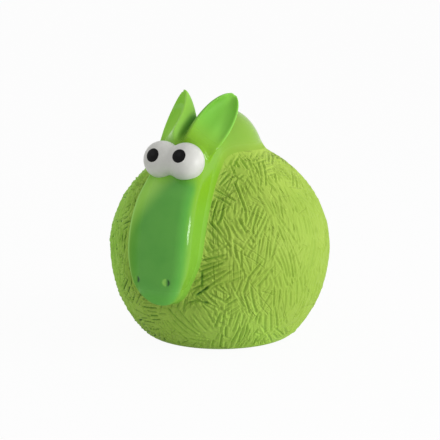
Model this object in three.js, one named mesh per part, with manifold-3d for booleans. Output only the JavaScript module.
// A round squeaky dog toy: a hollow rubber ball of a farm animal with a long face, two ears and bulging eyes.
// The skin is one thin moulding on the real toy. Here it is parted along its colour and form boundaries.
// A plastic squeaker snaps into a hole in the base: housing, reed plate, reed, clamp and perforated cap.
// Millimetres, +Z up, the face looks along -Y, +X is the animal's left, the base rests on Z = 0.
import * as THREE from "three";
import { mergeVertices } from "three/addons/utils/BufferGeometryUtils.js";
import Module from "manifold-3d";

const wasm = await Module();
wasm.setup();

// Clearances
const gap = 0.3;
const sweepGap = 0.45;
const overrun = 1;

// Body ball
const bodyRadius = 44;
const equatorHeight = 36.9;
const domeHeight = 42;
const bellyDepth = 47.2;
const domePower = 1.9;
const bellyPower = 2.1;
const skin = 2.2;
const bodySetback = 6.2;
const bodyTop = equatorHeight + domeHeight;

// Face: an egg outline seen from the front, with its widest line above the ball's equator
const faceHalfWidth = 13.4;
const faceRise = 10.1;
const chinDrop = 25;
const crownRise = 10;
const facePowerAbove = 2;
const facePowerBelow = 2.15;
const noseReach = 12.4;
const faceCrown = 2;
const faceEdgeRadius = 4.3;
const crownThickness = 14;
const faceCentre = equatorHeight + faceRise;
const faceTop = bodyTop + crownRise - faceCentre;

// Side view of the face, from chin to crown: shares of its height, and of the nose's reach past the ball
const faceHeightShares = [0, 0.12, 0.22, 0.36, 0.5, 0.62, 0.72, 0.84, 0.92, 1];
const faceReachShares = [0.73, 0.97, 1, 0.96, 0.76, 0.39, -0.12, -0.58, -0.99, -1.73];
const faceRingShares = [0.4, 0.68, 0.8, 0.9, 0.97];

// Back of the head
const pollHalfWidth = 17;
const pollHalfHeight = 23.4;
const pollSink = 10.7;
const pollBack = 2.4;
const faceBack = 2;

// Eyes and pupils
const eyeRadius = 7.3;
const eyeSpread = 5;
const eyeDrop = 2.4;
const eyeProud = 0.5;
const pupilRadius = 2.7;
const pupilDepth = 0.8;
const pupilLift = THREE.MathUtils.degToRad(21);
const pupilTurn = THREE.MathUtils.degToRad(6);

// Ears: horns cut aslant, with the inner rim lower than the outer one, on ball roots
const earLength = 28;
const earHalfWidth = 7.2;
const earRootHalfWidth = 6.6;
const earOuterDropShare = 0.09;
const earShoulderShare = 0.25;
const earTipPower = 2.2;
const earTipRoundPower = 0.53;
const earRimProud = 5.85;
const earRimSag = 0.6;
const earRimTwist = 1.1;
const earBackDepth = 10.3;
const earBackPower = 0.62;
const earBackSwellShare = 0.155;
const earTipThickness = 1.5;
const earWall = 1.1;
const earDishDepth = 4.6;
const earDishEndShare = 0.94;
const earDishFadeShares = [-0.1, 0.6];
const earNeckShare = 0.34;
const earNeckWidthShare = 0.8;
const earSpread = 4.3;
const earSink = 6.5;
const earSetback = 6.4;
const earLean = THREE.MathUtils.degToRad(44.7);
const earSplay = THREE.MathUtils.degToRad(15.5);
const earTurn = THREE.MathUtils.degToRad(30.4);
const earHingeRise = 3.7;
const earHingeSink = 1.9;
const earBallRadius = 6;
const earFoldBack = THREE.MathUtils.degToRad(-10);
const earFoldForward = THREE.MathUtils.degToRad(35);
const earFoldSteps = 3;

// Nostrils
const nostrilRadius = 1.2;
const nostrilSpread = 6.4;
const nostrilRise = 11;

// Squeaker in the base
const housingRadius = 9.7;
const flangeReach = 2.3;
const flangeThickness = 1;
const flangeRecess = 0.9;
const lipReach = 1.5;
const collarWidth = 4.8;
const collarThickness = 2.4;
const cupWall = 1.2;
const cupRadius = 8.5;
const squeakerHeight = 11.6;
const airHoleRadius = 1.5;
const plateThickness = 1.2;
const plateLedge = 1;
const reedRoom = 1.5;
const reedWidth = 3;
const reedThickness = 0.4;
const reedFree = 7;
const reedTail = 2;
const reedOffset = 3.2;
const slotClearance = 0.45;
const clampWidth = 5.4;
const clampLength = 2.6;
const clampHeight = 1.8;
const capThickness = 1.2;
const capHoleRadius = 0.8;
const capHoleCircle = 4;
const capHoles = 6;

// Mesh fineness
const bodySides = 44;
const bodyRings = 9;
const faceSides = 32;
const ballSides = 24;
const ballRings = 12;
const innerSides = 24;
const earSides = 18;
const earRings = 8;
const sweepSides = 18;
const sweepRings = 7;
const dishSides = 20;
const dishRings = 8;
const roundSides = 32;
const pupilSides = 20;
const holeSides = 12;

const materials = {
  fleece: new THREE.MeshStandardMaterial({ color: 0x9fc050, roughness: 0.75, metalness: 0 }),
  face: new THREE.MeshStandardMaterial({ color: 0x62ac42, roughness: 0.35, metalness: 0 }),
  eye: new THREE.MeshStandardMaterial({ color: 0xdfe0da, roughness: 0.25, metalness: 0 }),
  pupil: new THREE.MeshStandardMaterial({ color: 0x101011, roughness: 0.2, metalness: 0 }),
  squeaker: new THREE.MeshStandardMaterial({ color: 0xe8e6dc, roughness: 0.45, metalness: 0 }),
  reed: new THREE.MeshStandardMaterial({ color: 0xc9a24a, roughness: 0.3, metalness: 1 }),
};

// A closed three.js geometry as a solid that can be joined and cut.
function solidOf(geometry) {
  const bare = geometry.index ? geometry.toNonIndexed() : geometry.clone();
  bare.deleteAttribute("normal");
  bare.deleteAttribute("uv");
  const merged = mergeVertices(bare);
  return new wasm.Manifold(
    new wasm.Mesh({
      numProp: 3,
      vertProperties: merged.attributes.position.array,
      triVerts: new Uint32Array(merged.index.array),
    }),
  );
}

// A solid as a named mesh in the toy's frame.
function piece(name, solid, material) {
  const made = solid.getMesh();
  const stride = made.numProp;
  const places = new Float32Array(made.numVert * 3);
  for (let i = 0; i < made.numVert; i++) {
    places.set(made.vertProperties.subarray(i * stride, i * stride + 3), i * 3);
  }
  const geometry = new THREE.BufferGeometry();
  geometry.setAttribute("position", new THREE.BufferAttribute(places, 3));
  geometry.setIndex(new THREE.BufferAttribute(made.triVerts, 1));
  geometry.computeVertexNormals();
  const mesh = new THREE.Mesh(geometry, material);
  mesh.name = name;
  return mesh;
}

// A profile of [radius, height] pairs turned about the vertical axis.
function turned(profile, sides = roundSides) {
  const points = profile.map(([radius, height]) => new THREE.Vector2(radius, height));
  return solidOf(new THREE.LatheGeometry(points, sides).rotateX(Math.PI / 2));
}

function ball(radius, centre, sides = ballSides, rings = ballRings) {
  const geometry = new THREE.SphereGeometry(radius, sides, rings);
  return solidOf(geometry.translate(centre.x, centre.y, centre.z));
}

function rod(radius, from, to, sides = roundSides) {
  const along = new THREE.Vector3().subVectors(to, from);
  const geometry = new THREE.CylinderGeometry(radius, radius, along.length(), sides);
  const up = new THREE.Vector3(0, 1, 0);
  geometry.applyQuaternion(new THREE.Quaternion().setFromUnitVectors(up, along.clone().normalize()));
  const middle = new THREE.Vector3().addVectors(from, to).multiplyScalar(0.5);
  return solidOf(geometry.translate(middle.x, middle.y, middle.z));
}

function block(low, high) {
  const size = new THREE.Vector3().subVectors(high, low);
  const middle = new THREE.Vector3().addVectors(low, high).multiplyScalar(0.5);
  return solidOf(new THREE.BoxGeometry(size.x, size.y, size.z).translate(middle.x, middle.y, middle.z));
}

// A place given sideways, forwards of the ball's axis and above the floor.
function place(sideways, forwards, height) {
  return new THREE.Vector3(sideways, bodySetback - forwards, height);
}

const signedPower = (value, power) => Math.sign(value) * Math.pow(Math.abs(value), power);

// The ball, drawn in by an inset on every side, with its flat base at the inset's height.
function ballForm(inset, sides) {
  const radius = bodyRadius - inset;
  const dome = domeHeight - inset;
  const belly = bellyDepth - inset;
  const flatAngle = Math.asin(Math.pow((equatorHeight - inset) / belly, bellyPower / 2));
  const profile = [[0, inset]];
  for (let i = 0; i <= bodyRings; i++) {
    const angle = flatAngle * (1 - i / bodyRings);
    const reach = radius * Math.pow(Math.cos(angle), 2 / bellyPower);
    profile.push([reach, equatorHeight - belly * Math.pow(Math.sin(angle), 2 / bellyPower)]);
  }
  profile[1][1] = inset;
  for (let i = 1; i < bodyRings; i++) {
    const angle = ((Math.PI / 2) * i) / bodyRings;
    const reach = radius * Math.pow(Math.cos(angle), 2 / domePower);
    profile.push([reach, equatorHeight + dome * Math.pow(Math.sin(angle), 2 / domePower)]);
  }
  profile.push([0, equatorHeight + dome]);
  return turned(profile, sides).translate([0, bodySetback, 0]);
}

// How far forwards of the ball's axis the face's middle line lies at a height.
const faceHeight = chinDrop + faceTop;
const faceCurve = new THREE.CubicInterpolant(faceHeightShares, faceReachShares, 1);
function faceForwards(height) {
  const share = THREE.MathUtils.clamp((height - faceCentre + chinDrop) / faceHeight, 0, 1);
  return bodyRadius + noseReach * faceCurve.evaluate(share)[0];
}

// The height of the face's outline at a distance from the middle plane, above its widest line.
function crownHeight(sideways) {
  const share = Math.pow(sideways / faceHalfWidth, facePowerAbove);
  return faceCentre + faceTop * Math.pow(1 - share, 1 / facePowerAbove);
}

// The face as a pillow: the egg outline run forwards from the ball's middle, its front edge rounded.
function faceForm(inset, sides, topInset = inset) {
  const halfWidth = faceHalfWidth - inset;
  const above = faceTop - topInset;
  const below = chinDrop - inset;
  const edge = Math.max(faceEdgeRadius - inset, skin / 2);
  const edgeShare = 1 - edge / halfWidth;
  const profile = [new THREE.Vector2(0, 0), new THREE.Vector2(1, 0), new THREE.Vector2(1, 1)];
  for (const share of [...faceRingShares].reverse()) {
    profile.push(new THREE.Vector2(share, 1));
  }
  profile.push(new THREE.Vector2(0, 1));
  const geometry = new THREE.LatheGeometry(profile, sides);
  const at = geometry.attributes.position;
  for (let i = 0; i < at.count; i++) {
    const share = Math.hypot(at.getX(i), at.getZ(i));
    const angle = Math.atan2(-at.getX(i), at.getZ(i));
    const rising = Math.cos(angle) > 0;
    const power = 2 / (rising ? facePowerAbove : facePowerBelow);
    const x = share * halfWidth * signedPower(Math.sin(angle), power);
    const z = faceCentre + share * (rising ? above : below) * signedPower(Math.cos(angle), power);
    const rim = Math.max(0, (share - edgeShare) / (1 - edgeShare));
    const drop = edge * (1 - Math.sqrt(Math.max(0, 1 - rim * rim)));
    const crowned = faceCrown * Math.pow(x / faceHalfWidth, 2);
    const front = Math.max(faceForwards(z) - inset - crowned - drop, faceBack + overrun);
    const forwards = at.getY(i) > 0 ? front : faceBack;
    at.setXYZ(i, x, bodySetback - forwards, z);
  }
  return solidOf(geometry);
}

// The left ear's directions: across towards the other ear, out of its open side, and along it from its root.
function earFrame() {
  const along = new THREE.Vector3(
    Math.sin(earSplay),
    Math.cos(earSplay) * Math.sin(earLean),
    Math.cos(earSplay) * Math.cos(earLean),
  );
  const open = new THREE.Vector3(Math.sin(earTurn), -Math.cos(earTurn), 0);
  open.addScaledVector(along, -open.dot(along)).normalize();
  const across = new THREE.Vector3().crossVectors(open, along);
  const height = crownHeight(earSpread) - earSink;
  const root = place(earSpread, faceForwards(height) - earSetback, height);
  return new THREE.Matrix4().makeBasis(across, open, along).setPosition(root);
}

// Where the left ear's hinge lies.
function earPivot() {
  return new THREE.Vector3(0, -earHingeSink, earHingeRise).applyMatrix4(earFrame());
}

// The ear's section at a share of its length: half-widths to its rims, and heights of rim and back.
function earSection(share) {
  const past = Math.max(0, (share - earShoulderShare) / (1 - earShoulderShare));
  const before = Math.max(0, 1 - share / earShoulderShare);
  const hill = 4 * share * (1 - share);
  const tip = Math.pow(1 - Math.pow(past, earTipPower), earTipRoundPower);
  const inner = earHalfWidth * tip - (earHalfWidth - earRootHalfWidth) * before * before;
  return {
    inner,
    outer: inner * (1 - earOuterDropShare * (1 - share)),
    rim: earRimProud * (1 - share) - hill * earRimSag,
    twist: hill * earRimTwist,
    back: -earBackDepth * Math.pow(1 - share, earBackPower) * (1 + earBackSwellShare * share),
  };
}

// A closed form along the left ear. The shape gives the place for a point of the unit circle at a share.
function earForm(shares, sides, shape) {
  const profile = [new THREE.Vector2(0, shares[0])];
  for (const share of shares) {
    profile.push(new THREE.Vector2(1, share));
  }
  profile.push(new THREE.Vector2(0, shares[shares.length - 1]));
  const geometry = new THREE.LatheGeometry(profile, sides).rotateX(Math.PI / 2);
  const at = geometry.attributes.position;
  for (let i = 0; i < at.count; i++) {
    const shaped = shape(at.getX(i), at.getY(i), at.getZ(i));
    at.setXYZ(i, shaped.x, shaped.y, shaped.z);
  }
  return solidOf(geometry.applyMatrix4(earFrame()));
}

// The ear before it is dished: half an oval behind the rim, drawn in at its neck to fit the ball root.
function hornForm(grow, sides, rings) {
  const first = earHingeRise / earLength;
  const shares = [];
  for (let i = 0; i <= rings; i++) {
    shares.push(first + (1 - first) * Math.sin(((Math.PI / 2) * i) / (rings + 0.5)));
  }
  return earForm(shares, sides, (x, y, share) => {
    const section = earSection(share);
    const rim = section.rim - section.twist * x;
    const depth = Math.max(rim - section.back, earTipThickness) + grow;
    const width = (x > 0 ? section.inner : section.outer) + grow;
    const out = rim + y * (y > 0 ? grow : depth);
    const neck = THREE.MathUtils.smoothstep(share, first, earNeckShare);
    const size = THREE.MathUtils.lerp(earNeckWidthShare, 1, neck);
    const up = share * (earLength + grow);
    return new THREE.Vector3(x * width * size, (out + earHingeSink) * size - earHingeSink, up);
  });
}

// The ear's hollow: its outline is the ear's own, drawn in by the wall and ended short of the tip.
function dishForm() {
  const shares = [];
  for (let i = 0; i <= dishRings; i++) {
    shares.push(Math.sin(((Math.PI / 2) * i) / (dishRings + 0.5)));
  }
  return earForm(shares, dishSides, (x, y, share) => {
    const up = share * earDishEndShare;
    const outline = earSection(share);
    const section = earSection(up);
    const rim = section.rim - section.twist * x;
    const deepest = Math.min(rim - section.back - earWall, earDishDepth);
    const depth = deepest * THREE.MathUtils.smoothstep(up, ...earDishFadeShares);
    const width = (x > 0 ? outline.inner : outline.outer) * (1 - earWall / earHalfWidth);
    const out = rim + y * (y > 0 ? earDishDepth : depth);
    return new THREE.Vector3(x * width, out, up * earLength);
  });
}

// The left ear in place, mirrored for the right one.
function earSolid(side) {
  const pivot = earPivot();
  const reach = earLength + earBallRadius;
  const otherHalf = block(
    new THREE.Vector3(-reach, pivot.y - reach, pivot.z - reach),
    new THREE.Vector3(gap / 2, pivot.y + reach, pivot.z + reach),
  );
  const root = ball(earBallRadius, pivot, earSides, earSides / 2);
  const ear = hornForm(0, earSides, earRings).subtract(dishForm()).add(root).subtract(otherHalf);
  return side > 0 ? ear : ear.mirror([1, 0, 0]);
}

// The room that an ear sweeps as it folds, with its clearance.
function earSweep(side) {
  const pivot = earPivot();
  const horn = hornForm(sweepGap, sweepSides, sweepRings).translate([-pivot.x, -pivot.y, -pivot.z]);
  let room = ball(earBallRadius + gap, new THREE.Vector3(), innerSides, innerSides / 2);
  for (let i = 0; i < earFoldSteps; i++) {
    const fold = THREE.MathUtils.lerp(earFoldBack, earFoldForward, i / (earFoldSteps - 1));
    room = room.add(horn.rotate([THREE.MathUtils.radToDeg(fold), 0, 0]));
  }
  room = room.translate([pivot.x, pivot.y, pivot.z]);
  return side > 0 ? room : room.mirror([1, 0, 0]);
}

// Eyes, with a pocket for each pupil.
const eyeHeight = bodyTop - eyeDrop;
function eyeCentre(side) {
  return place(side * eyeSpread, faceForwards(eyeHeight) + eyeProud, eyeHeight);
}

function gaze(side) {
  return new THREE.Vector3(
    side * Math.sin(pupilTurn) * Math.cos(pupilLift),
    -Math.cos(pupilTurn) * Math.cos(pupilLift),
    Math.sin(pupilLift),
  );
}

function pupilRod(side, radius) {
  const centre = eyeCentre(side);
  const end = centre.clone().addScaledVector(gaze(side), eyeRadius + overrun);
  return rod(radius, centre, end, pupilSides);
}

function eyeSolid(side, behind) {
  const centre = eyeCentre(side);
  const pocket = pupilRod(side, pupilRadius + gap).subtract(ball(eyeRadius - pupilDepth - gap, centre));
  const reach = eyeRadius + overrun;
  const low = new THREE.Vector3(side > 0 ? -reach : -gap / 2, centre.y - reach, centre.z - reach);
  const high = new THREE.Vector3(side > 0 ? gap / 2 : reach, centre.y + reach, centre.z + reach);
  return ball(eyeRadius, centre).subtract(block(low, high)).subtract(pocket).subtract(behind);
}

function pupilSolid(side) {
  const centre = eyeCentre(side);
  return pupilRod(side, pupilRadius).intersect(ball(eyeRadius, centre)).subtract(
    ball(eyeRadius - pupilDepth, centre),
  );
}

// The head's outer form: face and back of the head.
function headForm(inset, sides, topInset) {
  const poll = new THREE.SphereGeometry(1, sides, sides / 2).rotateX(Math.PI / 2);
  poll.scale(pollHalfWidth - inset, pollHalfWidth - inset, pollHalfHeight - inset);
  const centre = place(0, -pollBack, bodyTop - pollSink);
  return faceForm(inset, sides, topInset).add(solidOf(poll.translate(centre.x, centre.y, centre.z)));
}

const ballInside = ballForm(skin, innerSides);
const headOutside = headForm(0, faceSides);
const headRoom = headForm(-gap, faceSides);
const headInside = headForm(skin, innerSides, crownThickness);

function nostril(side) {
  const height = faceCentre - chinDrop + nostrilRise;
  const crowned = faceCrown * Math.pow(nostrilSpread / faceHalfWidth, 2);
  const centre = place(side * nostrilSpread, faceForwards(height) - crowned, height);
  return ball(nostrilRadius, centre, holeSides, holeSides);
}

// A solid's largest body, without the crumbs that crossing cuts leave beside it.
function mainBody(solid) {
  return solid.decompose().reduce((most, body) => (body.volume() > most.volume() ? body : most));
}

function headSolid() {
  let head = headOutside.subtract(headInside).subtract(ballInside);
  for (const side of [-1, 1]) {
    head = head.subtract(earSweep(side)).subtract(nostril(side));
  }
  return mainBody(head);
}

// The body skin: base hole with a thick collar that the squeaker's groove grips.
const holeRadius = housingRadius + gap;
const flangeRadius = housingRadius + flangeReach;
const recessDepth = flangeRecess + flangeThickness + gap;
const collarTop = recessDepth + collarThickness;
function bodySolid() {
  const collar = turned([
    [0, 0],
    [holeRadius + collarWidth, 0],
    [holeRadius + collarWidth, collarTop],
    [0, collarTop],
  ]);
  const opening = turned([
    [0, -overrun],
    [flangeRadius + gap, -overrun],
    [flangeRadius + gap, recessDepth],
    [holeRadius, recessDepth],
    [holeRadius, collarTop + overrun],
    [0, collarTop + overrun],
  ]);
  const base = [0, bodySetback, 0];
  const ballSkin = ballForm(0, bodySides).subtract(ballInside);
  return ballSkin.add(collar.translate(base)).subtract(opening.translate(base)).subtract(headRoom);
}

// Squeaker pieces, turned about the ball's axis.
const atBase = [0, bodySetback, 0];
const lipLow = collarTop + gap;
const lipHigh = lipLow + flangeThickness;
const floorTop = flangeRecess + flangeThickness;
const cupInside = cupRadius - cupWall;
const clampTop = squeakerHeight - capThickness - reedRoom;
const plateTop = clampTop - clampHeight - gap;
const plateHeight = plateTop - plateThickness;
const ledgeInside = cupInside - plateLedge;
function housingSolid() {
  return turned([
    [airHoleRadius, flangeRecess],
    [flangeRadius, flangeRecess],
    [flangeRadius, floorTop],
    [housingRadius, floorTop],
    [housingRadius, lipLow],
    [housingRadius + lipReach, lipLow],
    [housingRadius + lipReach / 2, lipHigh],
    [cupRadius, lipHigh],
    [cupRadius, squeakerHeight],
    [cupInside, squeakerHeight],
    [cupInside, plateHeight - gap],
    [ledgeInside, plateHeight - gap],
    [ledgeInside, floorTop],
    [airHoleRadius, floorTop],
    [airHoleRadius, flangeRecess],
  ]).translate(atBase);
}

const plateRadius = cupInside - gap;
const reedLow = plateTop + gap;
const reedHigh = reedLow + reedThickness;
const reedRoot = bodySetback + reedOffset;
function plateSolid() {
  const disc = turned([
    [0, plateHeight],
    [plateRadius, plateHeight],
    [plateRadius, plateTop],
    [0, plateTop],
  ]).translate(atBase);
  const halfSlot = reedWidth / 2 + slotClearance;
  const slot = block(
    new THREE.Vector3(-halfSlot, reedRoot - reedFree - slotClearance, plateHeight - overrun),
    new THREE.Vector3(halfSlot, reedRoot - slotClearance, plateTop + overrun),
  );
  return disc.subtract(slot);
}

function reedSolid() {
  return block(
    new THREE.Vector3(-reedWidth / 2, reedRoot - reedFree, reedLow),
    new THREE.Vector3(reedWidth / 2, reedRoot + reedTail, reedHigh),
  );
}

function clampSolid() {
  const low = clampTop - clampHeight;
  const outer = block(
    new THREE.Vector3(-clampWidth / 2, reedRoot, low),
    new THREE.Vector3(clampWidth / 2, reedRoot + clampLength, clampTop),
  );
  const mouth = block(
    new THREE.Vector3(-reedWidth / 2 - gap, reedRoot - overrun, low - overrun),
    new THREE.Vector3(reedWidth / 2 + gap, reedRoot + reedTail + gap, reedHigh + gap),
  );
  return outer.subtract(mouth);
}

function capSolid() {
  const low = squeakerHeight - capThickness;
  let cap = turned([
    [0, low],
    [plateRadius, low],
    [plateRadius, squeakerHeight],
    [0, squeakerHeight],
  ]);
  for (let i = 0; i < capHoles; i++) {
    const angle = (2 * Math.PI * i) / capHoles;
    const x = capHoleCircle * Math.cos(angle);
    const y = capHoleCircle * Math.sin(angle);
    const from = new THREE.Vector3(x, y, low - overrun);
    cap = cap.subtract(rod(capHoleRadius, from, from.clone().setZ(squeakerHeight + overrun), holeSides));
  }
  return cap.translate(atBase);
}

const toy = new THREE.Group();
toy.name = "squeaky_toy";

const squeaker = new THREE.Group();
squeaker.add(piece("squeaker_housing", housingSolid(), materials.squeaker));
squeaker.add(piece("reed_plate", plateSolid(), materials.squeaker));
squeaker.add(piece("squeaker_reed", reedSolid(), materials.reed));
squeaker.add(piece("reed_clamp", clampSolid(), materials.squeaker));
squeaker.add(piece("squeaker_cap", capSolid(), materials.squeaker));

const head = new THREE.Group();
head.add(piece("head_shell", headSolid(), materials.face));
for (const [side, word] of [
  [1, "left"],
  [-1, "right"],
]) {
  head.add(piece("ear_" + word, earSolid(side), materials.face));
  head.add(piece("eye_" + word, eyeSolid(side, headRoom), materials.eye));
  head.add(piece("pupil_" + word, pupilSolid(side), materials.pupil));
}

toy.add(piece("body_shell", bodySolid(), materials.fleece));
toy.add(squeaker);
toy.add(head);

export default toy;
